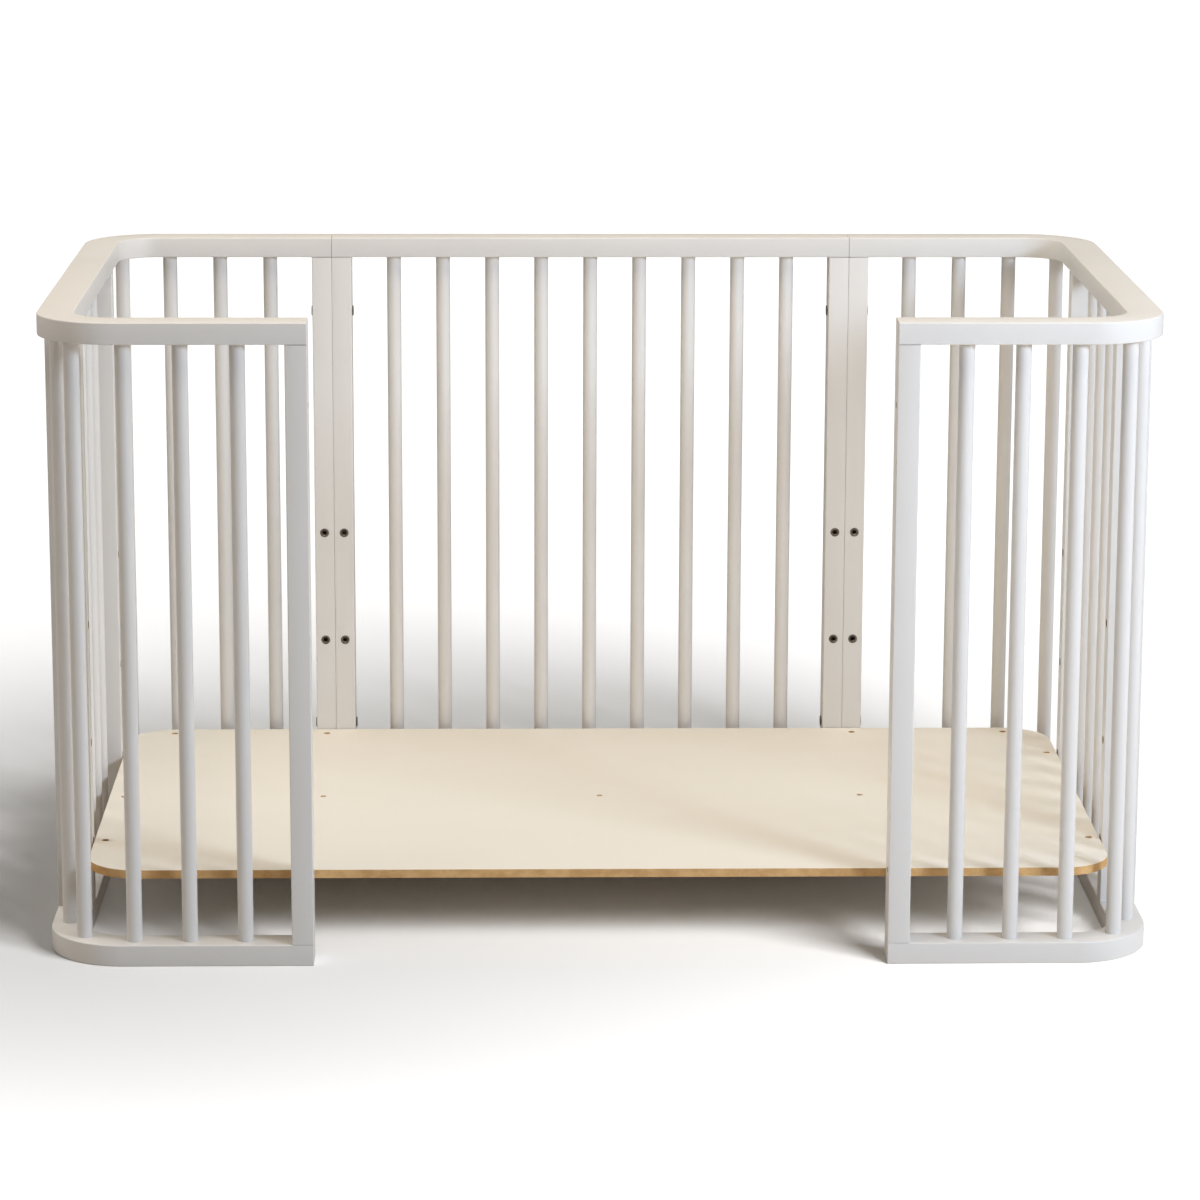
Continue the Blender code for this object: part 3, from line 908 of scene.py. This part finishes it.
def makeInserts():
    # Threaded steel inserts that the board's brackets screw into
    outer, inner = insertSizes["flange"] / 2, insertSizes["bore"] / 2
    chamfer, depth, rim = insertSizes["chamfer"], insertSizes["depth"], insertSizes["rim"]
    build = bmesh.new()
    outline = [(inner, -depth), (outer, -depth), (outer, -rim), (outer - rim, 0.0),
               (inner + chamfer, 0.0), (inner, -chamfer)]
    # Shallow thread ridges down the bore
    ridges = insertSizes["threads"]
    for i in range(ridges):
        height = -chamfer - (depth - chamfer) * (i + 0.5) / ridges
        outline.append((inner - insertSizes["threadDepth"], height))
        if i < ridges - 1:
            outline.append((inner, -chamfer - (depth - chamfer) * (i + 1) / ridges))
    count = insertSizes["sides"]
    rings = []
    for radius, height in outline:
        rings.append([build.verts.new((radius * math.cos(2 * math.pi * i / count),
                                       radius * math.sin(2 * math.pi * i / count), height))
                      for i in range(count)])
    for a, b in zip(rings, rings[1:] + rings[:1]):
        for i in range(count):
            j = (i + 1) % count
            build.faces.new((a[i], a[j], b[j], b[i]))
    bmesh.ops.recalc_face_normals(build, faces=build.faces)
    part = linkBuild("insertPart", build)
    spots = []
    posts = [(f"{side}_front_post", 1) for side in sides]
    posts += [(f"{side}_rear_post", -1) for side in sides]
    posts += [(f"rear_panel_post_{side}", -1) for side in sides]
    for node, inward in posts:
        low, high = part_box(node)
        faceY = high[1] if inward > 0 else low[1]
        for height in postSizes["stepHeights"]:
            where = ((low[0] + high[0]) / 2, faceY - inward * insertSizes["sunk"], height)
            spots.append((where, (-inward * math.pi / 2, 0, 0)))
    repeatPiece("postInserts", part, spots, bronze, "zinc_steel")


makeInserts()

bracketSizes = {
    "width": 0.020,
    "drop": 0.025,
    "reach": 0.030,
    "thickness": 0.002,
    "innerBend": 0.002,
    "bendSteps": 6,
    "edgeBevel": 0.0004,
    "gap": 0.0003,
    "sunk": 0.0002,           # how far the top leg lies under the board
    "hole": 0.009,
    "holeFromPost": 0.0143,
    "screwHole": 0.006,
    "screwDrop": 0.0125,
    "cutReach": 0.02,
    "screwCutEnd": 0.012,
}

bracketScrewSizes = {
    "shank": 0.0025,
    "shankLength": 0.006,
    "head": 0.0052,
    "rim": 0.0007,
    "shoulder": (0.0044, 0.0018),     # radius, height
    "crown": (0.0030, 0.0024),
    "socketRadius": 0.0019,
    "socketDepth": 0.0014,
    "socketSides": 6,
    "sides": 24,
}


def makeBrackets():
    # Angle brackets: one leg down the post's face, the other under the board
    size = bracketSizes
    top = -size["sunk"]
    profile = [(size["gap"], -size["drop"]), (size["gap"] + size["thickness"], -size["drop"])]
    steps = size["bendSteps"]
    inner = size["innerBend"]
    centre = (size["gap"] + size["thickness"] + inner, top - size["thickness"] - inner)
    for i in range(steps + 1):
        angle = math.pi - i * math.pi / 2 / steps
        profile.append((centre[0] + inner * math.cos(angle), centre[1] + inner * math.sin(angle)))
    profile.append((size["gap"] + size["reach"], top - size["thickness"]))
    profile.append((size["gap"] + size["reach"], top))
    outer = inner + size["thickness"]
    for i in range(steps + 1):
        angle = math.pi / 2 + i * math.pi / 2 / steps
        profile.append((centre[0] + outer * math.cos(angle), centre[1] + outer * math.sin(angle)))
    build = bmesh.new()
    rows = [[build.verts.new((x, way * size["width"] / 2, z)) for x, z in profile]
            for way in (-1, 1)]
    build.faces.new(rows[0])
    build.faces.new(rows[1][::-1])
    for i in range(len(profile)):
        j = (i + 1) % len(profile)
        build.faces.new((rows[0][j], rows[0][i], rows[1][i], rows[1][j]))
    bmesh.ops.recalc_face_normals(build, faces=build.faces)
    part = linkBuild("bracketPart", build)
    cutter = bmesh.new()
    along, drop, cut = size["holeFromPost"], size["screwDrop"], size["cutReach"]
    addBore(cutter, (along, 0, -cut), (along, 0, cut), size["hole"])
    addBore(cutter, (-cut, 0, -drop), (size["screwCutEnd"], 0, -drop), size["screwHole"])
    cutBores(part, cutter, zinc)
    softenEdges(part, size["edgeBevel"], 2, 60)
    bakeModifiers(part)
    spots = []
    screws = []
    underside = boardSizes["underside"]
    for side, sign in sides.items():
        for end in ("front", "rear"):
            endSign = -1 if end == "front" else 1
            low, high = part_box(f"{side}_side_post_{end}")
            faceX = low[0] if sign > 0 else high[0]
            turn = math.pi if sign > 0 else 0.0
            spots.append(((faceX, (low[1] + high[1]) / 2, underside), (0, 0, turn)))
            low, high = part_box(f"{side}_{end}_post")
            faceY = low[1] if endSign > 0 else high[1]
            turn = -endSign * math.pi / 2
            spots.append((((low[0] + high[0]) / 2, faceY, underside), (0, 0, turn)))
    for (x, y, z), (a, b, turn) in spots:
        away = size["gap"] + size["thickness"]
        screws.append(((x + away * math.cos(turn), y + away * math.sin(turn), z - drop),
                       (0, math.pi / 2, turn)))
    repeatPiece("boardBrackets", part, spots, zinc, "zinc_steel")
    screw = bracketScrewSizes
    outline = [(screw["shank"], -screw["shankLength"]), (screw["shank"], 0.0),
               (screw["head"], 0.0), (screw["head"], screw["rim"]), screw["shoulder"],
               screw["crown"]]
    part = turnedPart("bracketScrewPart", outline, screw["sides"], screw["socketSides"],
                      screw["socketRadius"], screw["socketDepth"])
    repeatPiece("bracketScrews", part, screws, zinc, "zinc_steel")


makeBrackets()

screwSizes = {
    "head": 0.0070,
    "sunk": 0.0002,
    "depth": 0.0035,
    "places": (-0.579, -0.334, 0.006, 0.327, 0.579),
    "offCentre": -0.005,
    "shank": 0.0016,
    "shankLength": 0.004,
    "rim": 0.0002,
    "driveRadius": 0.0016,
    "driveDepth": 0.0009,
    "driveSides": 4,
    "sides": 24,
    "twist": 3.0,             # radians per metre along the board, so no two drives line up
}


def makeBoardScrews():
    # Countersunk screws that hold the batten
    size = screwSizes
    head, shank, depth = size["head"] / 2, size["shank"], size["depth"]
    outline = [(shank, -depth - size["shankLength"]), (shank, -depth), (head, -size["rim"]),
               (head, 0.0)]
    part = turnedPart("boardScrewPart", outline, size["sides"], size["driveSides"],
                      size["driveRadius"], size["driveDepth"])
    top = boardSizes["top"] + size["sunk"]
    spots = [((x, size["offCentre"], top), (0, 0, x * size["twist"])) for x in size["places"]]
    repeatPiece("boardScrews", part, spots, brass, "zinc_steel")


makeBoardScrews()
print("metal parts made")


studio = {
    "floorSize": 60.0,
    "floorDrop": 0.0003,                 # keeps it off the undersides of the rails
    "floorTone": (0.93, 0.93, 0.935),
    "bounceTone": (0.67, 0.63, 0.58),    # what the floor gives back to the playpen
    "glow": 0.97,                        # evens out the floor far from the lamps
    "glowReach": 1.2,
    "glowCentre": (-0.1, -0.1, 0.0),
    "worldFront": (0.01, 0.01, 0.01),
    "worldRear": (0.30, 0.28, 0.25),
}


def makeFloor():
    half = studio["floorSize"] / 2
    mesh = bpy.data.meshes.new("studioFloor")
    corners = [(-half, -half), (half, -half), (half, half), (-half, half)]
    mesh.from_pydata([(x, y, -studio["floorDrop"]) for x, y in corners], [], [(0, 1, 2, 3)])
    material, tree, shader = newMaterial("paleFloor", studio["floorTone"])
    link = tree.links.new
    coords = tree.nodes.new("ShaderNodeTexCoord").outputs["Object"]
    tone = studio["floorTone"]
    other = [value * 0.99 for value in tone]
    mottle = placeGroup(tree, toneMottle, Tone_A=(*tone, 1), Tone_B=(*other, 1),
                        Drift_Scale=0.6, Speckle_Scale=200.0, Speckle=0.1)
    link(coords, mottle.inputs["Vector"])
    seen = addNode(tree, "ShaderNodeMix", data_type="RGBA")
    seen.inputs[6].default_value = (*studio["bounceTone"], 1)
    path = tree.nodes.new("ShaderNodeLightPath")
    link(path.outputs["Is Camera Ray"], seen.inputs["Factor"])
    link(mottle.outputs["Colour"], seen.inputs[7])
    link(seen.outputs[2], shader.inputs["Base Color"])
    # Glow grows with the distance from the middle as the lamps' light falls off
    centred = addNode(tree, "ShaderNodeVectorMath", operation="SUBTRACT")
    centred.inputs[1].default_value = studio["glowCentre"]
    reach = addNode(tree, "ShaderNodeVectorMath", operation="SCALE")
    reach.inputs["Scale"].default_value = 1 / studio["glowReach"]
    square = addNode(tree, "ShaderNodeVectorMath", operation="DOT_PRODUCT")
    steep = addNode(tree, "ShaderNodeMath", operation="POWER")
    steep.inputs[1].default_value = 2.0
    rise = addNode(tree, "ShaderNodeMath", operation="ADD")
    rise.inputs[1].default_value = 1.0
    fall = addNode(tree, "ShaderNodeMath", operation="POWER")
    fall.inputs[1].default_value = -1.0
    rest = addNode(tree, "ShaderNodeMath", operation="SUBTRACT")
    rest.inputs[0].default_value = 1.0
    strength = addNode(tree, "ShaderNodeMath", operation="MULTIPLY")
    strength.inputs[1].default_value = studio["glow"]
    shown = addNode(tree, "ShaderNodeMath", operation="MULTIPLY")
    link(coords, centred.inputs[0])
    link(centred.outputs[0], reach.inputs[0])
    link(reach.outputs[0], square.inputs[0])
    link(reach.outputs[0], square.inputs[1])
    link(square.outputs["Value"], steep.inputs[0])
    link(steep.outputs[0], rise.inputs[0])
    link(rise.outputs[0], fall.inputs[0])
    link(fall.outputs[0], rest.inputs[1])
    link(rest.outputs[0], strength.inputs[0])
    link(strength.outputs[0], shown.inputs[0])
    link(path.outputs["Is Camera Ray"], shown.inputs[1])
    link(shown.outputs[0], shader.inputs["Emission Strength"])
    shader.inputs["Emission Color"].default_value = (1, 1, 1, 1)
    shader.inputs["Roughness"].default_value = 0.75
    shader.inputs["Specular IOR Level"].default_value = 0.1
    mesh.materials.append(material)
    floor = linkPiece("studioFloor", mesh)


def makeLight(name, where, target, size, power, tone):
    lamp = bpy.data.lights.new(name, "AREA")
    lamp.shape = "RECTANGLE"
    lamp.size, lamp.size_y = size
    lamp.energy = power
    lamp.color = tone
    light = bpy.data.objects.new(name, lamp)
    scene.collection.objects.link(light)
    aim = Vector(target) - Vector(where)
    turn = aim.to_track_quat("-Z", "Y").to_matrix().to_4x4()
    light.matrix_world = Matrix.Translation(where) @ turn
    return light


def linkLight(light, state, *names):
    # INCLUDE lights the named pieces alone, EXCLUDE lights all but them
    chosen = bpy.data.collections.new(light.name + "Reach")
    for name in names:
        chosen.objects.link(bpy.data.objects[name])
    for entry in chosen.collection_objects:
        entry.light_linking.link_state = state
    light.light_linking.receiver_collection = chosen


def makeWorld():
    # Nearly dark in front, dim and slightly warm behind; plain white where it is seen
    world = bpy.data.worlds.new("studioWorld")
    world.use_nodes = True
    tree = world.node_tree
    link = tree.links.new
    back = tree.nodes["Background"]
    where = tree.nodes.new("ShaderNodeTexCoord")
    split = tree.nodes.new("ShaderNodeSeparateXYZ")
    turn = addNode(tree, "ShaderNodeMapRange", interpolation_type="SMOOTHSTEP",
                   From_Min=-1.0, From_Max=1.0)
    tone = addNode(tree, "ShaderNodeMix", data_type="RGBA")
    tone.inputs[6].default_value = (*studio["worldFront"], 1)
    tone.inputs[7].default_value = (*studio["worldRear"], 1)
    path = tree.nodes.new("ShaderNodeLightPath")
    seen = addNode(tree, "ShaderNodeMix", data_type="RGBA")
    seen.inputs[7].default_value = (1, 1, 1, 1)
    link(where.outputs["Generated"], split.inputs[0])
    link(split.outputs["Y"], turn.inputs["Value"])
    link(turn.outputs["Result"], tone.inputs["Factor"])
    link(tone.outputs[2], seen.inputs[6])
    link(path.outputs["Is Camera Ray"], seen.inputs["Factor"])
    link(seen.outputs[2], back.inputs["Color"])
    scene.world = world


lamps = {
    # place, aimed at, size, watts, tone, shows in gloss, link state, pieces it is linked to
    "overhead": ((-0.1, -0.55, 3.4), (0, 0, 0), (2.6, 1.8), 75, (1.0, 0.90, 0.75),
                 True, "EXCLUDE", ["studioFloor"]),
    "windowSide": ((1.95, -2.0, 1.45), (0.3, 0, 0.4), (0.85, 0.5), 55, (0.70, 0.82, 1.0),
                   True, "EXCLUDE", ["studioFloor"]),
    "leftTop": ((-2.4, 0.7, 2.3), (0, 0, 0.3), (1.4, 1.4), 16, (0.8, 0.9, 1.0),
                False, "EXCLUDE", ["studioFloor"]),
    "leftFill": ((-2.8, -0.7, 1.3), (0, 0, 0.4), (1.6, 1.2), 16, (1.0, 0.9, 0.8),
                 False, "EXCLUDE", ["studioFloor"]),
    "rightSide": ((3.0, 0.1, 1.6), (0, 0, 0.4), (1.6, 1.6), 20, (1.0, 1.0, 1.0),
                  False, "EXCLUDE", ["studioFloor"]),
    "rearSide": ((0.0, 3.6, 0.55), (0, 0, 0.4), (3.2, 0.5), 70, (1.0, 0.98, 0.95),
                 False, "EXCLUDE", ["studioFloor", "baseBoard"]),
    "rearWallFill": ((0.4, -3.0, 1.3), (0, 0.37, 0.4), (1.6, 1.0), 12, (1.0, 0.92, 0.85),
                     True, "INCLUDE", ["rearPanelSpindles", "rearPanelPostLeft",
                                       "rearPanelPostRight", "leftRearPost", "rightRearPost"]),
    "floorWash": ((1.9, -2.4, 1.75), (0, -0.2, 0), (1.8, 0.9), 165, (1.0, 1.0, 1.0),
                  True, "INCLUDE", ["studioFloor"]),
}

makeFloor()
makeWorld()
for name, (where, target, size, power, tone, glossy, state, reach) in lamps.items():
    light = makeLight(name, where, target, size, power, tone)
    light.visible_glossy = glossy
    linkLight(light, state, *reach)
scene.view_settings.view_transform = "Standard"
print("studio ready")
